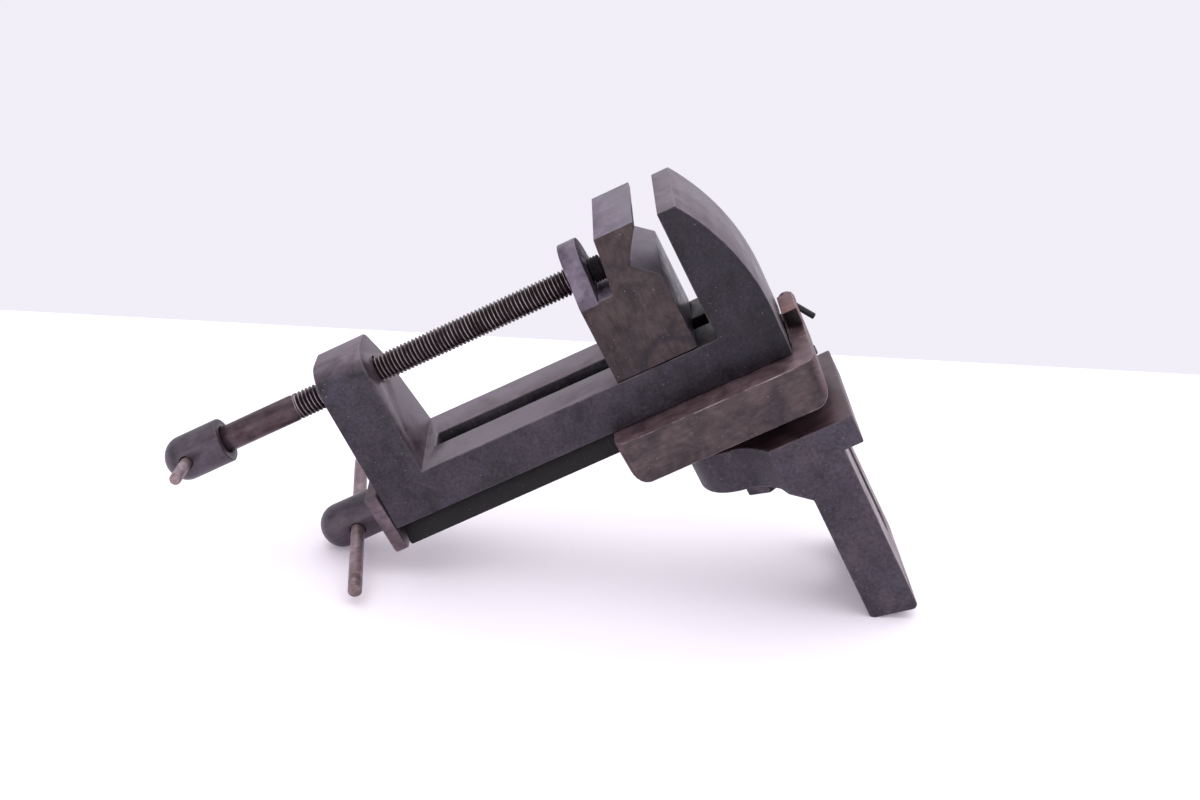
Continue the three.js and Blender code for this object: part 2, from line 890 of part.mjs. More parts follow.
// A ridged round nut that keeps the screw's journal in the ear.
function clampNut() {
  const right = clampNutLeft + clampNutLength;
  const radius = clampAxisHeight - jawShoulderHeight - 0.5;
  const ridges = 4;
  const pitch = clampNutLength / ridges;
  const profile = [[clampNutLeft, 0]];
  for (let i = 0; i < ridges; i++) {
    profile.push([clampNutLeft + pitch * i, radius - 0.5]);
    profile.push([clampNutLeft + pitch * (i + 0.5), radius]);
  }
  profile.push([right, radius - 0.5], [right, 0]);
  return cut(
    turned("x", profile),
    rod("x", clampJournalDiameter / 2 + gap, clampNutLeft - 1, right + 1),
  );
}

// ---- the vise ----
const group = new THREE.Group();
group.name = "bench_vise";
group.add(
  piece("angle_bracket", angleBracket(), ...darkIron),
  piece("pivot_washer", pivotWasher(), ...paleSteel),
  piece("pivot_bolt", pivotBolt(), ...blackSteel),
  piece("swivel_disc", swivelDisc(), ...brownSteel),
);

const slide = new THREE.Group();
slide.position.z = bodyUnderside;
const stopLock = new THREE.Group();
stopLock.position.set(lockX, 0, lockHeight);
stopLock.add(
  piece("lock_screw", lockScrew(), ...redSteel),
  piece("lock_pin", lockPin(), ...blackSteel),
);
slide.add(
  piece("slide_base", slideBase(), ...brownSteel),
  piece("feed_nut", feedNut(), ...paleSteel),
  piece("nut_screw", nutScrew(), ...blackSteel),
  piece("stop_block", stopBlock(), ...redSteel),
  piece("stop_block_screw", stopBlockScrew(), ...blackSteel),
  stopLock,
);

const body = new THREE.Group();
body.position.z = bodyUnderside;
body.add(
  piece("vise_body", viseBody(), ...darkIron),
  piece("dovetail_rail", dovetailRail(), ...darkIron),
  ...railScrewPlaces.map((x, i) => piece(`rail_screw_${i + 1}`, railScrew(x), ...blackSteel)),
  piece("end_plate", endPlate(), ...brownSteel),
  piece("end_plate_screw_front", endPlateScrew(-endScrewY), ...blackSteel),
  piece("end_plate_screw_back", endPlateScrew(endScrewY), ...blackSteel),
);

const feed = new THREE.Group();
feed.position.z = feedAxisHeight;
feed.add(
  piece("feed_screw", feedScrew(), ...paleSteel),
  piece("feed_collar", feedCollar(), ...paleSteel),
  piece("feed_screw_head", feedHead(), ...blackSteel),
  piece("feed_tommy_bar", feedBar(), ...paleSteel),
);
body.add(feed);

const jaw = new THREE.Group();
jaw.add(
  piece("movable_jaw", movableJaw(), ...brownSteel),
  piece("jaw_keeper", jawKeeper(), ...paleSteel),
  piece("keeper_screw", keeperScrew(), ...blackSteel),
);
const clamp = new THREE.Group();
clamp.position.set(0, clampAxisY, clampAxisHeight);
clamp.add(
  piece("clamp_screw", clampScrew(), ...paleSteel),
  piece("clamp_screw_head", clampHead(), ...blackSteel),
  piece("clamp_nut", clampNut(), ...blackSteel),
  piece("clamp_tommy_bar", clampBar(), ...paleSteel),
);
jaw.add(clamp);
body.add(jaw);
group.add(slide, body);

export default group;
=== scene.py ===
import json
import math

import bmesh
import bpy
import numpy as np
from mathutils import Matrix, Vector

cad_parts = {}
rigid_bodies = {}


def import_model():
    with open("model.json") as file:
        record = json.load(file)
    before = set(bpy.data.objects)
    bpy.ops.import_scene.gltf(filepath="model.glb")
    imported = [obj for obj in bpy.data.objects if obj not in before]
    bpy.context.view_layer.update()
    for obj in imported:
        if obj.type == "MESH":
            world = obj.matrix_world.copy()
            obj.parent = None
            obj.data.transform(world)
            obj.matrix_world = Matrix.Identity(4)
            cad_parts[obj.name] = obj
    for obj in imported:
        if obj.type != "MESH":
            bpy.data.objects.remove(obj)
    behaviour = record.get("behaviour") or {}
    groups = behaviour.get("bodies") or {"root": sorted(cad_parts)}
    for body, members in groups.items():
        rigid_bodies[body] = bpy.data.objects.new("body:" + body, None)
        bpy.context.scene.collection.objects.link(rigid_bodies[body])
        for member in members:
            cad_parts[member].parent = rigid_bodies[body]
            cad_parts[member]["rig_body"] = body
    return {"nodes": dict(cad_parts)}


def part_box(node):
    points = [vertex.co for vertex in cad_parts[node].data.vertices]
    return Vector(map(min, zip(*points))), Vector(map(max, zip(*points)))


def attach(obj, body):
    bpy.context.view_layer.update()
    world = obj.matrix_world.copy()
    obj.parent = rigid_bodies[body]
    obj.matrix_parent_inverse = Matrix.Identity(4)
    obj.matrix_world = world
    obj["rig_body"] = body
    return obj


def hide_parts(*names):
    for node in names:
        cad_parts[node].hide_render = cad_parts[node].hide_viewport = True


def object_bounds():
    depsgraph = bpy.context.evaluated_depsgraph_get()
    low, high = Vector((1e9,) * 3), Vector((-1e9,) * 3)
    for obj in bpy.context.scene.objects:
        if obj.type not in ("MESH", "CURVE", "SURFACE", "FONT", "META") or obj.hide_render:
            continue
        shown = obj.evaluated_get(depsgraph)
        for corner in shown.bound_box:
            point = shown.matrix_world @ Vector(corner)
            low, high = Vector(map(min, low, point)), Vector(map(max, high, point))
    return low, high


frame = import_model()
cadBox = [list(corner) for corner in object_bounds()]
mm = 0.001
print("frame loaded:", len(frame["nodes"]), "nodes")


def newMaterial(name):
    material = bpy.data.materials.new(name)
    material.use_nodes = True
    tree = material.node_tree
    return material, tree, tree.nodes["Principled BSDF"]


def addNode(tree, kind, settings=None, inputs=None):
    node = tree.nodes.new(kind)
    for key, value in (settings or {}).items():
        setattr(node, key, value)
    for key, value in (inputs or {}).items():
        if isinstance(value, bpy.types.NodeSocket):
            tree.links.new(value, node.inputs[key])
        else:
            node.inputs[key].default_value = value
    return node


def objectPlace(tree, stretch=(1, 1, 1), offset=(0, 0, 0)):
    where = addNode(tree, "ShaderNodeTexCoord")
    mapping = addNode(tree, "ShaderNodeMapping", inputs={"Vector": where.outputs["Object"]})
    mapping.inputs["Scale"].default_value = stretch
    mapping.inputs["Location"].default_value = offset
    return mapping.outputs["Vector"]


def noise(tree, place, scale, detail=3.0, roughness=0.55, distortion=0.0):
    made = addNode(tree, "ShaderNodeTexNoise", inputs={
        "Vector": place, "Scale": scale, "Detail": detail,
        "Roughness": roughness, "Distortion": distortion})
    return made.outputs["Fac"]


def remap(tree, value, low, high, outLow=0.0, outHigh=1.0):
    made = addNode(tree, "ShaderNodeMapRange", inputs={
        "Value": value, "From Min": low, "From Max": high, "To Min": outLow, "To Max": outHigh})
    return made.outputs["Result"]


def calculate(tree, operation, a, b=0.0):
    made = addNode(tree, "ShaderNodeMath", {"operation": operation})
    for index, value in enumerate((a, b)):
        if isinstance(value, bpy.types.NodeSocket):
            tree.links.new(value, made.inputs[index])
        else:
            made.inputs[index].default_value = value
    return made.outputs["Value"]


def times(tree, *values):
    product = values[0]
    for value in values[1:]:
        product = calculate(tree, "MULTIPLY", product, value)
    return product


# The first value where the factor is 0, the second where it is 1. Colours come as RGBA,
# single numbers as FLOAT, normals as VECTOR.
def blend(tree, factor, first, second, kind="RGBA", mode="MIX"):
    made = addNode(tree, "ShaderNodeMix", {"data_type": kind, "blend_type": mode})
    sockets = [socket for socket in made.inputs if socket.enabled]
    for socket, value in zip(sockets, (factor, first, second)):
        if isinstance(value, bpy.types.NodeSocket):
            tree.links.new(value, socket)
        elif isinstance(value, (tuple, list)):
            socket.default_value = (*value[:3], 1.0)
        else:
            socket.default_value = value
    return [socket for socket in made.outputs if socket.enabled][0]


def darken(tree, color, shade):
    grey = addNode(tree, "ShaderNodeCombineColor", inputs={"Red": shade, "Green": shade, "Blue": shade})
    return blend(tree, 1.0, color, grey.outputs["Color"], mode="MULTIPLY")


def placeParts(tree):
    where = addNode(tree, "ShaderNodeTexCoord").outputs["Object"]
    return addNode(tree, "ShaderNodeSeparateXYZ", inputs={"Vector": where}).outputs


# where along its noise each effect sets in and where it is full
noiseSpan = {
    "patch": (0.34, 0.70), "stain": (0.50, 0.72), "grain": (0.3, 0.7), "speck": (0.68, 0.76),
    "rough": (0.35, 0.7), "shake": (0.3, 0.7),
}

# how fine, how rough and how twisted each noise is
noiseKind = {
    "patch": {"detail": 5, "roughness": 0.6, "distortion": 0.6},
    "stain": {"detail": 4, "roughness": 0.65, "distortion": 1.2},
    "grain": {"detail": 3, "roughness": 0.6},
    "speck": {"detail": 2, "roughness": 0.5},
    "pits": {"detail": 4, "roughness": 0.65},
    "edgeWear": {"detail": 5, "roughness": 0.7, "distortion": 0.8},
    "threadShadeSheenAndWear": {"detail": 4, "roughness": 0.6},
}

# how far a noise is moved aside, so that its spots fall elsewhere than the patches
noiseOffset = {"stain": (3.1, 1.7, 0.4), "edgeWear": (0.7, 0.2, 0.5), "threadShadeSheenAndWear": (0.9, 0.1, 0.3)}


# A stain in the shape of a ring on a face across Y. It is full where the distance from its
# middle, shaken by noise, differs from its radius by less than fullShare of its width, and
# gone where it differs by more than its width.
def ringMask(tree, shake, ring):
    parts = placeParts(tree)
    offX = calculate(tree, "SUBTRACT", parts["X"], ring["middle"][0])
    offZ = calculate(tree, "SUBTRACT", parts["Z"], ring["middle"][1])
    squares = calculate(tree, "ADD", times(tree, offX, offX), times(tree, offZ, offZ))
    shaken = remap(tree, shake, *noiseSpan["shake"], -ring["shake"], ring["shake"])
    far = calculate(tree, "ADD", calculate(tree, "SQRT", squares), shaken)
    off = calculate(tree, "ABSOLUTE", calculate(tree, "SUBTRACT", far, ring["radius"]))
    return remap(tree, off, ring["width"], ring["width"] * ring["fullShare"], 0.0, ring["amount"])


# A shade that changes along X between two places.
def fadeShade(tree, fade):
    return remap(tree, placeParts(tree)["X"], fade["from"], fade["to"], fade["before"], fade["after"])



# what a finish has unless it says otherwise
usualMetal = {
    "grainStretch": (1, 1, 1), "speckScale": 1500, "speckAmount": 0.3, "pitScale": 1300,
    "grainBump": 0.5, "pitBump": 0.6, "bumpDepth": 0.00012, "grainRough": 0.05,
}


# Colour, roughness and bump of an old steel or iron surface: broad patches of patina, a
# drawn grain along one direction, fine pits and small bright specks.
def metalLook(tree, spec):
    spec = {**usualMetal, **spec}
    place = objectPlace(tree)
    patch = noise(tree, place, spec["patchScale"], **noiseKind["patch"])
    patchMask = remap(tree, patch, *noiseSpan["patch"])
    color = blend(tree, patchMask, spec["dark"], spec["light"])
    aside = objectPlace(tree, offset=noiseOffset["stain"])
    stain = noise(tree, aside, spec["stainScale"], **noiseKind["stain"])
    stainMask = remap(tree, stain, *noiseSpan["stain"], 0.0, spec["stainAmount"])
    color = blend(tree, stainMask, color, spec["stain"])
    if "ring" in spec:
        color = blend(tree, ringMask(tree, stain, spec["ring"]), color, spec["stain"])
    if "fade" in spec:
        color = darken(tree, color, fadeShade(tree, spec["fade"]))
    drawn = objectPlace(tree, spec["grainStretch"])
    grain = noise(tree, drawn, spec["grainScale"], **noiseKind["grain"])
    grainDepth = spec["grainShade"]
    grainShade = remap(tree, grain, *noiseSpan["grain"], 1.0 - grainDepth, 1.0 + grainDepth)
    color = darken(tree, color, grainShade)
    speck = noise(tree, place, spec["speckScale"], **noiseKind["speck"])
    speckMask = remap(tree, speck, *noiseSpan["speck"], 0.0, spec["speckAmount"])
    color = blend(tree, speckMask, color, spec.get("speck", spec["light"]))
    patchRough = remap(tree, patch, *noiseSpan["rough"], *spec["roughness"])
    grainRough = remap(tree, grain, *noiseSpan["grain"], -spec["grainRough"], spec["grainRough"])
    rough = calculate(tree, "ADD", patchRough, grainRough)
    pits = noise(tree, place, spec["pitScale"], **noiseKind["pits"])
    grainHeight = times(tree, grain, spec["grainBump"])
    height = calculate(tree, "ADD", grainHeight, times(tree, pits, spec["pitBump"]))
    bump = addNode(tree, "ShaderNodeBump", inputs={
        "Height": height, "Strength": spec["bump"], "Distance": spec["bumpDepth"]})
    return color, rough, bump.outputs["Normal"]


# A material from a surface's colour, roughness and normal.
def lookMaterial(name, makeLook, metallic):
    material, tree, shader = newMaterial(name)
    color, rough, normal = makeLook(tree)
    tree.links.new(color, shader.inputs["Base Color"])
    tree.links.new(rough, shader.inputs["Roughness"])
    tree.links.new(normal, shader.inputs["Normal"])
    shader.inputs["Metallic"].default_value = metallic
    return material


def metalMaterial(name, spec):
    return lookMaterial(name, lambda tree: metalLook(tree, spec), spec["metallic"])


# 0 on the part of a piece that lies before a place along X and above a height, 1 elsewhere.
def outsideEar(tree, ear):
    parts = placeParts(tree)
    before = remap(tree, parts["X"], ear["before"], ear["before"] - ear["soft"])
    above = remap(tree, parts["Z"], ear["above"], ear["above"] + ear["soft"])
    return calculate(tree, "SUBTRACT", 1.0, times(tree, before, above))


# Painted shade on a face in the corner where it meets an upright that would shade it: 1 below
# a height, from one place along X up to another.
def paintedGapShadeMask(tree, gapShade):
    parts = placeParts(tree)
    along = remap(tree, parts["X"], gapShade["from"], gapShade["to"])
    below = remap(tree, parts["Z"], gapShade["height"], gapShade["height"] - gapShade["softHeight"])
    before = remap(tree, parts["X"], gapShade["until"], gapShade["until"] - gapShade["softUntil"])
    return times(tree, along, below, before, gapShade["amount"])


# how far a face may lean and still count as facing a way
facing = (0.55, 0.85)


# Two finishes on one piece, by the way the piece's own normal points. The cast one is on
# the faces that look along Y or straight down, or on all that look neither up nor along +X.
def twoFinishLook(tree, cast, machined):
    castLook = metalLook(tree, cast)
    machinedLook = metalLook(tree, machined)
    normals = addNode(tree, "ShaderNodeTexCoord").outputs["Normal"]
    way = addNode(tree, "ShaderNodeSeparateXYZ", inputs={"Vector": normals}).outputs
    if machined.get("upAndAheadOnly"):
        upOrAhead = calculate(tree, "MAXIMUM", way["X"], way["Z"])
        mask = remap(tree, upOrAhead, facing[1], facing[0])
    else:
        sideways = calculate(tree, "ABSOLUTE", way["Y"])
        downwards = times(tree, way["Z"], -1.0)
        mask = remap(tree, calculate(tree, "MAXIMUM", sideways, downwards), *facing)
    if "ear" in machined:
        mask = times(tree, mask, outsideEar(tree, machined["ear"]))
    machinedColorAndGapShade = machinedLook[0]
    # painted shadow: the machined colour darkened to near black on the bed top between the jaws, where
    # the jaws shade it
    if "gapShade" in machined:
        gapShade = machined["gapShade"]
        machinedColorAndGapShade = blend(tree, paintedGapShadeMask(tree, gapShade), machinedColorAndGapShade, gapShade["color"])
    color = blend(tree, mask, machinedColorAndGapShade, castLook[0])
    rough = blend(tree, mask, machinedLook[1], castLook[1], "FLOAT")
    normal = blend(tree, mask, machinedLook[2], castLook[2], "VECTOR")
    return color, rough, normal


def castAndMachined(name, cast, machined):
    return lookMaterial(name, lambda tree: twoFinishLook(tree, cast, machined), machined["metallic"])


# A rounded-off edge: the finish of the faces beside it, worn to brighter metal in patches.
def wornEdgeMaterial(name, spec, edge, machined=None):
    def makeLook(tree):
        look = twoFinishLook(tree, spec, machined) if machined else metalLook(tree, spec)
        aside = objectPlace(tree, offset=noiseOffset["edgeWear"])
        wear = noise(tree, aside, edge["patchScale"], **noiseKind["edgeWear"])
        mask = remap(tree, wear, edge["from"], edge["to"], 0.0, edge["amount"])
        return blend(tree, mask, look[0], edge["color"]), look[1], look[2]
    return lookMaterial(name, makeLook, spec["metallic"])


# A screw thread: painted shade darkens the roots and a painted highlight, broken into patches like
# wear, brightens the crests, from the piece's own crest attribute (0 in the root, 1 on the
# crest, 0.5 where there is no thread).
def threadMaterial(name, spec, thread):
    material, tree, shader = newMaterial(name)
    look = metalLook(tree, spec)
    crest = addNode(tree, "ShaderNodeAttribute", {"attribute_name": "crest"}).outputs["Fac"]
    # painted shade: the roots darkened to near black
    color = blend(tree, remap(tree, crest, *thread["rootSpan"]), look[0], thread["root"])
    # painted highlight, partly wear: the crests brightened where the wear noise allows
    aside = objectPlace(tree, offset=noiseOffset["threadShadeSheenAndWear"])
    wear = noise(tree, aside, thread["wearScale"], **noiseKind["threadShadeSheenAndWear"])
    crestSheenAndWear = remap(tree, wear, *thread["wearSpan"])
    crestHighlight = times(tree, remap(tree, crest, *thread["crestSpan"]), crestSheenAndWear)
    color = blend(tree, crestHighlight, color, thread["crest"])
    tree.links.new(color, shader.inputs["Base Color"])
    shader.inputs["Roughness"].default_value = thread["roughness"]
    shader.inputs["Metallic"].default_value = thread["metallic"]
    return material


# finishes: colours, the scales and amounts of their noises, roughness, bump and metallic
castMetal = {
    "dark": (0.0165, 0.0138, 0.0175), "light": (0.042, 0.035, 0.045), "stain": (0.034, 0.031, 0.047),
    "patchScale": 110, "stainScale": 60, "stainAmount": 0.7, "grainShade": 0.35, "grainScale": 900,
    "speck": (0.22, 0.20, 0.22), "speckScale": 1400, "speckAmount": 0.8,
    "roughness": (0.42, 0.6), "pitScale": 900, "pitBump": 1.0, "grainBump": 0.2,
    "bump": 0.5, "bumpDepth": 0.0002, "metallic": 0.45,
}
castIron = {**castMetal, "fade": {"from": -0.060, "to": -0.022, "before": 1.45, "after": 0.85}}
bracketIron = {
    **castMetal,
    "dark": (0.033, 0.0275, 0.035), "light": (0.078, 0.064, 0.082), "stain": (0.05, 0.045, 0.066),
    "fade": {"from": -0.045, "to": -0.020, "before": 0.95, "after": 1.0},
}
railSteel = {
    **castMetal,
    "dark": (0.0034, 0.0026, 0.0034), "light": (0.0085, 0.0066, 0.0086), "stain": (0.006, 0.005, 0.007),
    "speckAmount": 0.25, "roughness": (0.55, 0.7),
}
stopFront = {
    **castMetal,
    "dark": (0.0065, 0.0048, 0.0062), "light": (0.019, 0.014, 0.0175), "speckAmount": 0.3,
}
machinedMetal = {
    "dark": (0.088, 0.066, 0.080), "light": (0.20, 0.160, 0.196), "stain": (0.070, 0.047, 0.054),
    "patchScale": 120, "stainScale": 55, "stainAmount": 0.75, "grainShade": 0.2, "grainScale": 700,
    "grainStretch": (0.12, 1.0, 1.0), "speck": (0.30, 0.27, 0.31), "speckScale": 1500, "speckAmount": 0.3,
    "roughness": (0.3, 0.52), "bump": 0.2, "metallic": 0.65,
}
# the body's machined faces; the bed top between the jaws is darkened to near black there as painted
# shadow from the jaws
machinedTopAndGapShade = {
    **machinedMetal,
    "gapShade": {"from": -0.043, "to": -0.037, "until": -0.0185, "height": 0.0745,
             "softHeight": 0.002, "softUntil": 0.001, "amount": 0.95, "color": (0.011, 0.009, 0.011)},
}
bracketTop = {
    **machinedMetal,
    "dark": (0.047, 0.025, 0.030), "light": (0.098, 0.055, 0.067), "stain": (0.062, 0.029, 0.030),
    "upAndAheadOnly": True,
}
jawTurned = {
    **machinedMetal,
    "dark": (0.092, 0.074, 0.102), "light": (0.215, 0.175, 0.228), "stain": (0.066, 0.052, 0.070),
    "patchScale": 160, "grainStretch": (1.0, 0.2, 1.0),
    "ear": {"before": -0.0462, "above": 0.0952, "soft": 0.0006},
}
brownSteel = {
    "dark": (0.031, 0.0215, 0.0235), "light": (0.093, 0.066, 0.067), "stain": (0.021, 0.017, 0.024),
    "patchScale": 130, "stainScale": 70, "stainAmount": 0.8, "grainShade": 0.28, "grainScale": 900,
    "grainStretch": (0.25, 1.0, 1.0), "speck": (0.24, 0.20, 0.20), "speckScale": 1300, "speckAmount": 0.7,
    "roughness": (0.38, 0.58), "bump": 0.3, "metallic": 0.55,
}
slabTop = {
    **brownSteel,
    "dark": (0.090, 0.054, 0.060), "light": (0.225, 0.150, 0.160), "stain": (0.070, 0.048, 0.064),
}
jawSteel = {
    **brownSteel,
    "dark": (0.027, 0.0195, 0.0215), "light": (0.074, 0.053, 0.052),
    "grainStretch": (1.0, 1.0, 0.3), "patchScale": 150,
    "ring": {"middle": (-0.035, 0.069), "radius": 0.0085, "width": 0.0019, "fullShare": 0.3,
             "shake": 0.0012, "amount": 0.75},
}
plateSteel = {
    **brownSteel,
    "dark": (0.074, 0.050, 0.060), "light": (0.17, 0.122, 0.144), "stain": (0.05, 0.037, 0.045),
}
redSteel = {
    **brownSteel,
    "dark": (0.105, 0.042, 0.040), "light": (0.25, 0.135, 0.135), "stain": (0.18, 0.062, 0.048),
}
# painted shade: the swivel disc's colours darkened to near black, as it sits in the shaded gap between
# slide base and bracket
discSteelInPaintedShade = {**brownSteel, "dark": (0.006, 0.0045, 0.0052), "light": (0.015, 0.0115, 0.012)}
blackHead = {
    "dark": (0.036, 0.0285, 0.039), "light": (0.105, 0.082, 0.108), "stain": (0.060, 0.043, 0.048),
    "patchScale": 110, "stainScale": 90, "stainAmount": 0.6, "grainShade": 0.2, "grainScale": 900,
    "grainStretch": (0.2, 1.0, 1.0), "speck": (0.16, 0.14, 0.16), "speckScale": 1500, "speckAmount": 0.4,
    "roughness": (0.36, 0.52), "bump": 0.2, "metallic": 0.45,
}
# near-black steel: the small screws' own colour, and painted shade on the clamp nut, which sits in the
# shaded notch by the jaw's ear, and on the swivel disc's edges
nearBlackSteelAndNutShade = {**blackHead, "dark": (0.012, 0.010, 0.013), "light": (0.034, 0.028, 0.034)}
screwSteel = {
    "dark": (0.038, 0.024, 0.028), "light": (0.100, 0.068, 0.079), "stain": (0.052, 0.029, 0.030),
    "patchScale": 140, "stainScale": 90, "stainAmount": 0.7, "grainShade": 0.25, "grainScale": 900,
    "grainStretch": (0.3, 1.0, 1.0), "roughness": (0.4, 0.58), "bump": 0.25, "metallic": 0.5,
}
barSteel = {
    **screwSteel,
    "dark": (0.15, 0.100, 0.105), "light": (0.36, 0.275, 0.295), "stain": (0.075, 0.042, 0.040),
    "speck": (0.5, 0.45, 0.46), "speckScale": 1200, "speckAmount": 0.5,
}
turnedSteel = {
    **screwSteel,
    "dark": (0.15, 0.135, 0.135), "light": (0.27, 0.25, 0.255), "stain": (0.08, 0.065, 0.065),
}

# how edges are worn: noise scale, the noise values between which the wear sets in, how much
# of it shows, and its colour
brightWear = {"patchScale": 90, "from": 0.46, "to": 0.66, "amount": 0.8, "color": (0.34, 0.28, 0.29)}
softWear = {"patchScale": 130, "from": 0.48, "to": 0.72, "amount": 0.6, "color": (0.17, 0.145, 0.155)}
castWear = {"patchScale": 150, "from": 0.46, "to": 0.70, "amount": 0.7, "color": (0.12, 0.105, 0.115)}
# painted light on threads: near-black painted shade in the roots, a bright painted highlight on the
# crests broken into patches like wear
threadShadeSheenAndWear = {
    "root": (0.012, 0.009, 0.010), "rootSpan": (0.5, 0.1),
    "crest": (0.36, 0.31, 0.31), "crestSpan": (0.78, 0.98),
    "wearScale": 260, "wearSpan": (0.35, 0.6), "roughness": 0.34, "metallic": 0.75,
}

finishes = {
    # the body's finish carries the painted shadow on the bed top between the jaws
    "body": castAndMachined("castBodyFinishAndGapShade", castIron, machinedTopAndGapShade),
    "bracket": castAndMachined("castBracketFinish", bracketIron, bracketTop),
    "rail": metalMaterial("railFinish", railSteel),
    "slab": castAndMachined("slideBaseFinish", brownSteel, slabTop),
    "jaw": castAndMachined("jawFinish", jawSteel, jawTurned),
    # the swivel disc's near-black colour is painted shade
    "disc": metalMaterial("discFinishInPaintedShade", discSteelInPaintedShade),
    "head": metalMaterial("screwHeadFinish", blackHead),
    # own colour of the small screws, painted shade on the clamp nut
    "black": metalMaterial("blackSteelFinish", nearBlackSteelAndNutShade),
    "screw": metalMaterial("screwFinish", screwSteel),
    "bar": metalMaterial("barFinish", barSteel),
    "turned": metalMaterial("turnedSteelFinish", turnedSteel),
    "plate": metalMaterial("endPlateFinish", plateSteel),
    "red": metalMaterial("lockScrewFinish", redSteel),
    "stop": castAndMachined("stopBlockFinish", stopFront, redSteel),
    # the threads carry painted shade in the roots and a painted highlight on the crests
    "thread": threadMaterial("threadFinishAndPaintedLight", screwSteel, threadShadeSheenAndWear),
    # the body's worn edges carry the same painted shadow between the jaws
    "castEdge": wornEdgeMaterial("castEdgeFinishAndGapShade", castIron, castWear, machinedTopAndGapShade),
    "bracketEdge": wornEdgeMaterial("bracketEdgeFinish", bracketIron, castWear, bracketTop),
    "railEdge": wornEdgeMaterial("railEdgeFinish", railSteel, {**castWear, "amount": 0.25}),
    "slabEdge": wornEdgeMaterial("slabEdgeFinish", brownSteel, brightWear, slabTop),
    "jawEdge": wornEdgeMaterial("jawEdgeFinish", jawSteel, softWear, jawTurned),
    "headEdge": wornEdgeMaterial("headEdgeFinish", blackHead, softWear),
    # the edges of the clamp nut and swivel disc, darkened as painted shade
    "blackEdge": wornEdgeMaterial("blackEdgeAndPaintedShadeFinish", nearBlackSteelAndNutShade, softWear),
    "stopEdge": wornEdgeMaterial("stopEdgeFinish", redSteel, brightWear),
    "turnedEdge": wornEdgeMaterial("turnedEdgeFinish", turnedSteel, brightWear),
    "plateEdge": wornEdgeMaterial("plateEdgeFinish", plateSteel, softWear),
}
print("materials made:", len(finishes))


def finishPiece(mesh, name, node, materials):
    made = bpy.data.objects.new(name, mesh)
    bpy.context.scene.collection.objects.link(made)
    for material in materials:
        mesh.materials.append(finishes[material])
    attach(made, frame["nodes"][node]["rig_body"])
    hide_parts(node)
    return made


# lengths in metres, angles in degrees
easing = {"weld": 2e-6, "flatAngle": 0.6, "cornerAngle": 32, "segments": 2}


# A copy of a node with its triangles merged into whole faces and its corners rounded off.
def easedCopy(node, name, finish, edgeFinish, width):
    shape = bmesh.new()
    shape.from_mesh(frame["nodes"][node].data)
    bmesh.ops.remove_doubles(shape, verts=shape.verts, dist=easing["weld"])
    flat = math.radians(easing["flatAngle"])
    bmesh.ops.dissolve_limit(shape, angle_limit=flat, verts=shape.verts, edges=shape.edges)
    mesh = bpy.data.meshes.new(name)
    shape.to_mesh(mesh)
    shape.free()
    mesh.materials.clear()
    mesh.polygons.foreach_set("use_smooth", [True] * len(mesh.polygons))
    mesh.polygons.foreach_set("material_index", [0] * len(mesh.polygons))
    made = finishPiece(mesh, name, node, [finish, edgeFinish])
    bevel = made.modifiers.new("easedEdges", "BEVEL")
    bevel.width = width * mm
    bevel.segments = easing["segments"]
    bevel.limit_method = "ANGLE"
    bevel.angle_limit = math.radians(easing["cornerAngle"])
    bevel.use_clamp_overlap = False
    bevel.material = 1
    bevel.miter_outer = "MITER_ARC"
    bevel.harden_normals = True


# node, piece, slot, finish, finish of its edges, and the edges' width in mm
easedPieces = [
    ("vise_body", "viseBody", "cast_iron_dark", "body", "castEdge", 0.35),
    ("dovetail_rail", "dovetailRail", "cast_iron_dark", "rail", "railEdge", 0.3),
    ("angle_bracket", "angleBracket", "cast_iron_dark", "bracket", "bracketEdge", 0.45),
    ("slide_base", "slideBase", "brown_steel", "slab", "slabEdge", 0.3),
    ("movable_jaw", "movableJaw", "brown_steel", "jaw", "jawEdge", 0.22),
    ("end_plate", "endPlate", "brown_steel", "plate", "plateEdge", 0.25),
    # the swivel disc is darkened as painted shade, for it sits in the shaded gap
    ("swivel_disc", "swivelDisc", "brown_steel", "disc", "blackEdge", 0.3),
    ("stop_block", "stopBlock", "red_brown_steel", "stop", "stopEdge", 0.25),
    ("pivot_bolt", "pivotBolt", "black_steel", "head", "headEdge", 0.5),
    ("pivot_washer", "pivotWasher", "pale_steel", "turned", "turnedEdge", 0.15),
    # the clamp nut is black steel made darker than the screw heads as painted shade, for it sits in the
    # shaded notch
    ("clamp_nut", "clampNut", "black_steel", "black", "blackEdge", 0.08),
    ("feed_nut", "feedNut", "pale_steel", "turned", "turnedEdge", 0.2),
    ("jaw_keeper", "jawKeeper", "pale_steel", "turned", "turnedEdge", 0.2),
    ("clamp_screw_head", "clampScrewHead", "black_steel", "head", "headEdge", 0.15),
    ("feed_screw_head", "feedScrewHead", "black_steel", "head", "headEdge", 0.15),
    ("lock_screw", "lockScrew", "red_brown_steel", "red", "stopEdge", 0.12),
    ("feed_collar", "feedCollar", "pale_steel", "turned", "turnedEdge", 0.15),
]
for node, name, slot, finish, edgeFinish, width in easedPieces:
    easedCopy(node, name, finish, edgeFinish, width)
print("eased pieces made:", len(easedPieces))


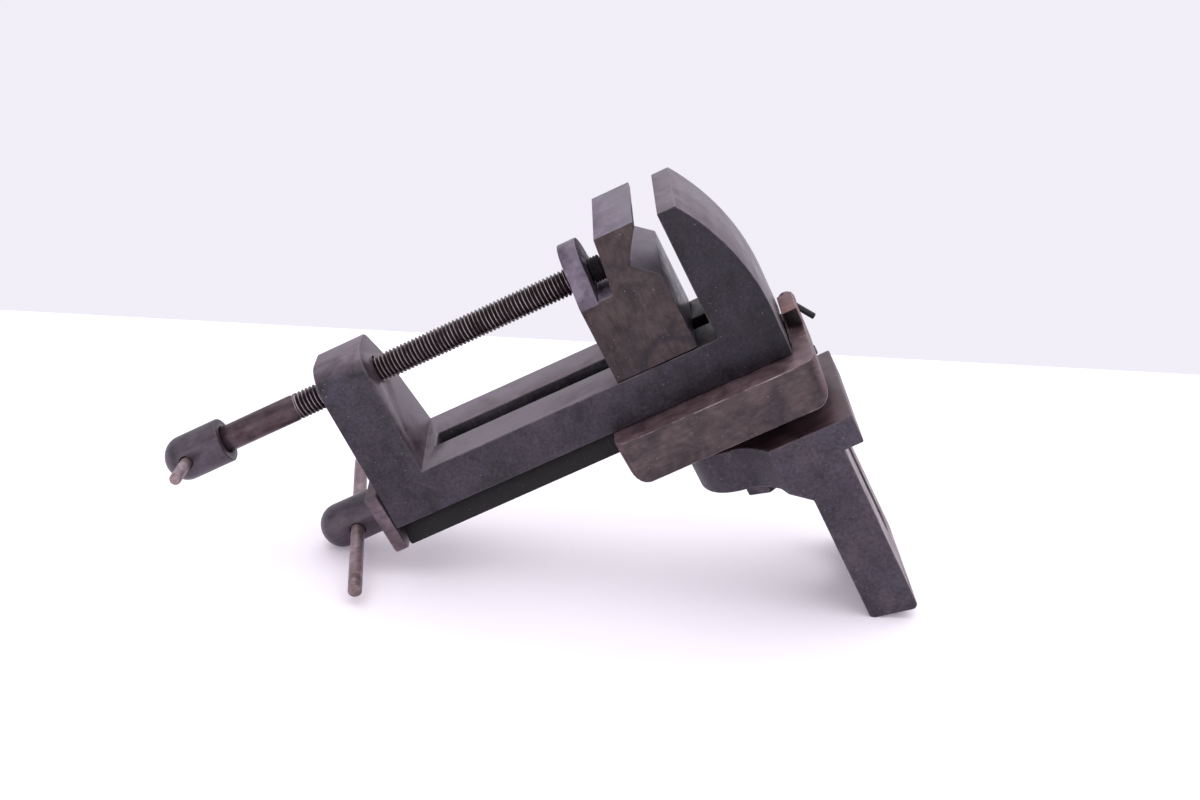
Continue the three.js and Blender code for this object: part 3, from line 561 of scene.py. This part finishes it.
# A closed surface from rings of points, with a fan of triangles to a pole at each end.
# Point j of ring i is number i times the points in a ring, plus j.
def ringMesh(name, rings, startPole, endPole):
    count, around, _ = rings.shape
    points = np.vstack([rings.reshape(-1, 3), [startPole], [endPole]])
    i, j = np.meshgrid(np.arange(count - 1), np.arange(around), indexing="ij")
    nextJ = (j + 1) % around
    here, ahead = i * around, (i + 1) * around
    quads = np.stack([here + j, ahead + j, ahead + nextJ, here + nextJ], -1).reshape(-1, 4)
    j = np.arange(around)
    nextJ = (j + 1) % around
    startFan = np.stack([np.full(around, count * around), j, nextJ], -1)
    last = (count - 1) * around
    endFan = np.stack([np.full(around, count * around + 1), last + nextJ, last + j], -1)
    mesh = bpy.data.meshes.new(name)
    mesh.from_pydata(points.tolist(), [], quads.tolist() + startFan.tolist() + endFan.tolist())
    mesh.polygons.foreach_set("use_smooth", [True] * len(mesh.polygons))
    shape = bmesh.new()
    shape.from_mesh(mesh)
    bmesh.ops.recalc_face_normals(shape, faces=shape.faces)
    shape.to_mesh(mesh)
    shape.free()
    return mesh


# how much steeper than a plain triangle wave a thread's flanks are, which leaves its crests
# and roots flat
flankGain = 1.25


# Radius of a screw at a distance x along its axis and an angle a round it: the crest radius
# less the depth times a flattened triangle wave of (x / pitch - a / one turn), faded to the
# crest radius over one pitch at the thread's two ends.
def threadRadius(x, angle, spec):
    phase = (x / spec["pitch"] - angle / (2 * np.pi)) % 1.0
    wave = np.clip(np.abs(phase * 2 - 1) * flankGain - (flankGain - 1) / 2, 0, 1)
    fadeIn = np.clip((x - spec["threadFrom"]) / spec["pitch"], 0, 1)
    fadeOut = np.clip((spec["threadTo"] - x) / spec["pitch"], 0, 1)
    return spec["crest"] - spec["depth"] * wave * fadeIn * fadeOut


# A rod along X: rings of constant x whose radius is threadRadius where the thread runs and
# the profile's plain radius outside it.
def threadedRod(node, name, finish, spec):
    low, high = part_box(node)
    axisY, axisZ = (low.y + high.y) / 2 / mm, (low.z + high.z) / 2 / mm
    threadX = np.arange(spec["threadFrom"], spec["threadTo"], spec["pitch"] / spec["perPitch"])
    profile = np.array(spec["profile"])
    before = profile[profile[:, 0] <= spec["threadFrom"]]
    after = profile[profile[:, 0] > spec["threadTo"]]
    xs = np.concatenate([before[:, 0], threadX, after[:, 0]])
    angle = np.linspace(0, 2 * np.pi, spec["around"], endpoint=False)
    grid, turn = np.meshgrid(xs, angle, indexing="ij")
    radius = threadRadius(grid, turn, spec)
    crest = 1.0 - (spec["crest"] - radius) / spec["depth"]
    isPlain = np.ones(len(xs), bool)
    isPlain[len(before):len(before) + len(threadX)] = False
    radius[isPlain] = np.concatenate([before[:, 1], after[:, 1]])[:, None]
    crest[isPlain] = 0.5
    rings = np.stack([grid, axisY + radius * np.cos(turn), axisZ + radius * np.sin(turn)], -1) * mm
    startPole = (xs[0] * mm, axisY * mm, axisZ * mm)
    endPole = (xs[-1] * mm, axisY * mm, axisZ * mm)
    mesh = ringMesh(name, rings, startPole, endPole)
    shade = mesh.attributes.new("crest", "FLOAT", "POINT")
    shade.data.foreach_set("value", np.concatenate([crest.ravel(), [0.5, 0.5]]))
    return finishPiece(mesh, name, node, [finish])


clampLow, clampHigh = [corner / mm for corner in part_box("clamp_screw")]
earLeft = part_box("movable_jaw")[0].x / mm
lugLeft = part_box("vise_body")[0].x / mm
# screws: mm, the profile as (x, radius) where no thread runs
clampScrew = {
    "pitch": 1.25, "depth": 0.78, "crest": 4.12, "perPitch": 8, "around": 48,
    "threadFrom": lugLeft - 12.0, "threadTo": earLeft - 0.4,
}
clampScrew["profile"] = [
    (clampLow.x, 3.6), (clampLow.x + 0.5, 4.1), (clampScrew["threadFrom"] - 1.2, 4.1),
    (clampScrew["threadFrom"] - 0.3, 3.5), (clampScrew["threadFrom"] - 0.1, 3.5),
    (earLeft - 0.3, 4.0), (earLeft - 0.29, 3.0), (clampHigh.x - 0.4, 3.0), (clampHigh.x, 2.6),
]
threadedRod("clamp_screw", "clampScrew", "thread", clampScrew)

feedLow, feedHigh = [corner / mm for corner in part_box("feed_screw")]
feedScrew = {
    "pitch": 1.0, "depth": 0.5, "crest": 3.0, "perPitch": 6, "around": 32,
    "threadFrom": lugLeft + 4.0, "threadTo": feedHigh.x - 1.0,
}
feedScrew["profile"] = [
    (feedLow.x, 2.6), (feedLow.x + 0.4, 3.0), (feedScrew["threadFrom"] - 0.3, 3.0),
    (feedScrew["threadFrom"] - 0.2, 2.6), (feedHigh.x - 0.8, 2.7), (feedHigh.x, 2.1),
]
threadedRod("feed_screw", "feedScrew", "thread", feedScrew)


# both bars' ends: mm, the share of the radius where an end's rounding starts, the share of
# that on the flat tip, and the counts of rings in an end and of points round the bar
barEnd = {"endLength": 0.8, "blunt": 0.55, "tipShare": 0.8, "ringsInEnd": 5, "around": 32}
feedBar = {**barEnd, "radius": 2.15, "frontEndHigh": False}
clampBar = {**barEnd, "radius": 1.8, "frontEndHigh": True}


# The middles of a tilted bar's two ends, from its node's box. The tilt's tangent is the box's
# height less the bar's diameter over its width. Each middle lies the radius times the tilt's
# sine in from a side, and the radius times its cosine in from the top or bottom.
def barEnds(node, bar):
    low, high = [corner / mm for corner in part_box(node)]
    middleX = (low.x + high.x) / 2
    tilt = math.atan2(high.z - low.z - 2 * bar["radius"], high.y - low.y)
    inset = bar["radius"] * math.sin(tilt)
    lift = bar["radius"] * math.cos(tilt)
    frontZ, backZ = low.z + lift, high.z - lift
    if bar["frontEndHigh"]:
        frontZ, backZ = backZ, frontZ
    return (middleX, low.y + inset, frontZ), (middleX, high.y - inset, backZ)


# A bar between two ends: a profile of (distance from the end, radius) carried round the
# line between them, each end rounded off by a quarter ellipse.
def roundBar(node, name, finish, bar):
    start, end = [Vector(point) * mm for point in barEnds(node, bar)]
    along = end - start
    length = along.length
    side = along.cross(Vector((1, 0.01, 0.02))).normalized()  # crossed with nearly +X
    other = along.cross(side).normalized()
    quarter = np.linspace(0, np.pi / 2, bar["ringsInEnd"] + 1)[1:]
    cap = bar["endLength"] * mm * (1 - np.cos(quarter))
    capRadius = bar["radius"] * mm * (bar["blunt"] + (1 - bar["blunt"]) * np.sin(quarter))
    tipRadius = capRadius[0] * bar["tipShare"]
    distance = np.concatenate([[0], cap, length - cap[::-1], [length]])
    reach = np.concatenate([[tipRadius], capRadius, capRadius[::-1], [tipRadius]])
    angle = np.linspace(0, 2 * np.pi, bar["around"], endpoint=False)
    direction = np.outer(np.cos(angle), side) + np.outer(np.sin(angle), other)
    middle = np.array(start) + np.outer(distance / length, np.array(along))
    rings = middle[:, None, :] + reach[:, None, None] * direction[None, :, :]
    mesh = ringMesh(name, rings, middle[0], middle[-1])
    return finishPiece(mesh, name, node, [finish])


roundBar("feed_tommy_bar", "feedTommyBar", "bar", feedBar)
roundBar("clamp_tommy_bar", "clampTommyBar", "bar", clampBar)
print("screws and bars made")

# the small screws and the lock pin keep their own shapes
plainPieces = [
    "lock_pin", "nut_screw", "stop_block_screw", "rail_screw_1", "rail_screw_2", "rail_screw_3",
    "end_plate_screw_front", "end_plate_screw_back", "keeper_screw",
]
for node in plainPieces:
    mesh = frame["nodes"][node].data
    mesh.materials.clear()
    mesh.materials.append(finishes["black"])
print("plain pieces finished:", len(plainPieces))


# camera: where it stands, its right and forward directions, and its lens and sensor in mm
camera = {
    "place": (0.02512, -0.51679, 0.26311),
    "right": (0.90149, -0.01656, -0.43247),
    "forward": (-0.15605, 0.91961, -0.3605),
    "lens": 55.08,
    "sensor": 36.0,
    "clipStart": 0.01,
}


def placeCamera():
    right = Vector(camera["right"]).normalized()
    forward = Vector(camera["forward"]).normalized()
    forward = (forward - right * forward.dot(right)).normalized()
    axes = Matrix((right, right.cross(forward), -forward)).transposed()
    lens = bpy.data.cameras.new("viewCamera")
    lens.lens = camera["lens"]
    lens.sensor_width = camera["sensor"]
    lens.clip_start = camera["clipStart"]
    eye = bpy.data.objects.new("viewCamera", lens)
    bpy.context.scene.collection.objects.link(eye)
    eye.matrix_world = Matrix.Translation(camera["place"]) @ axes.to_4x4()
    bpy.context.scene.camera = eye


# the vise lies tipped on its lower screw head and the bracket's foot; the floor's far edge
# runs through two points behind it
floor = {
    "up": (0.4903, 0.0, 0.8715),
    "touches": (-0.0138, 0.0, -0.0291),
    "color": (0.97, 0.935, 0.975),
    "roughness": 0.6,
    "glow": (0.98, 0.84, 1.0),
    "glowStrength": 0.12,
    "farEdge": ((-0.296301, 0.187617, 0.129833), (0.135606, 0.188484, -0.113155)),
    "halfWidth": 3.0,
}


# The floor is seen from above only: from below it lets light and sight through.
def floorMaterial():
    material, tree, shader = newMaterial("paleFloor")
    shader.inputs["Base Color"].default_value = (*floor["color"], 1)
    shader.inputs["Roughness"].default_value = floor["roughness"]
    shader.inputs["Emission Color"].default_value = (*floor["glow"], 1)
    shader.inputs["Emission Strength"].default_value = floor["glowStrength"]
    clear = addNode(tree, "ShaderNodeBsdfTransparent")
    back = addNode(tree, "ShaderNodeNewGeometry").outputs["Backfacing"]
    sides = {0: back, 1: shader.outputs[0], 2: clear.outputs[0]}
    mixed = addNode(tree, "ShaderNodeMixShader", inputs=sides)
    tree.links.new(mixed.outputs[0], tree.nodes["Material Output"].inputs["Surface"])
    return material


# The point of the floor's plane nearest to a point.
def onFloor(point):
    normal = Vector(floor["up"]).normalized()
    return Vector(point) - normal * (Vector(point) - Vector(floor["touches"])).dot(normal)


def makeFloor():
    normal = Vector(floor["up"]).normalized()
    left, right = [onFloor(point) for point in floor["farEdge"]]
    middle = (left + right) / 2
    across = (right - left).normalized() * floor["halfWidth"]
    towards = normal.cross(across) * 2
    if towards.dot(Vector(camera["place"]) - middle) < 0:
        towards = -towards
    corners = [middle - across, middle + across, middle + across + towards, middle - across + towards]
    mesh = bpy.data.meshes.new("floor")
    mesh.from_pydata([corner[:] for corner in corners], [], [(0, 1, 2, 3)])
    if mesh.polygons[0].normal.dot(normal) < 0:
        mesh.flip_normals()
    mesh.materials.append(floorMaterial())
    made = bpy.data.objects.new("floor", mesh)
    bpy.context.scene.collection.objects.link(made)


light = {
    "skyColor": (0.945, 0.915, 1.0),
    "skyStrength": 0.94,
    "softboxPower": 6.0,
    "softboxSize": 1.7,
    "softboxRise": 0.8,
    "softboxAside": (0.1, 0.25, 0.0),
    "fillPower": 6.5,
    "fillSize": 1.6,
    "fillAside": (-0.35, -1.0, 0.15),
}


def areaLight(name, place, target, size, power):
    lamp = bpy.data.lights.new(name, "AREA")
    lamp.shape = "DISK"
    lamp.size = size
    lamp.energy = power
    made = bpy.data.objects.new(name, lamp)
    bpy.context.scene.collection.objects.link(made)
    aim = (target - place).to_track_quat("-Z", "Y")
    made.matrix_world = Matrix.Translation(place) @ aim.to_matrix().to_4x4()


def lightRoom():
    middle = (Vector(cadBox[0]) + Vector(cadBox[1])) / 2
    above = middle + Vector(floor["up"]) * light["softboxRise"] + Vector(light["softboxAside"])
    beside = middle + Vector(light["fillAside"])
    areaLight("overheadSoftbox", above, middle, light["softboxSize"], light["softboxPower"])
    areaLight("frontFill", beside, middle, light["fillSize"], light["fillPower"])
    world = bpy.data.worlds.new("paleRoom")
    world.use_nodes = True
    background = world.node_tree.nodes["Background"]
    background.inputs["Color"].default_value = (*light["skyColor"], 1)
    background.inputs["Strength"].default_value = light["skyStrength"]
    bpy.context.scene.world = world
    bpy.context.scene.view_settings.view_transform = "Standard"


placeCamera()
makeFloor()
lightRoom()
print("floor, light and camera set")

bpy.context.view_layer.update()
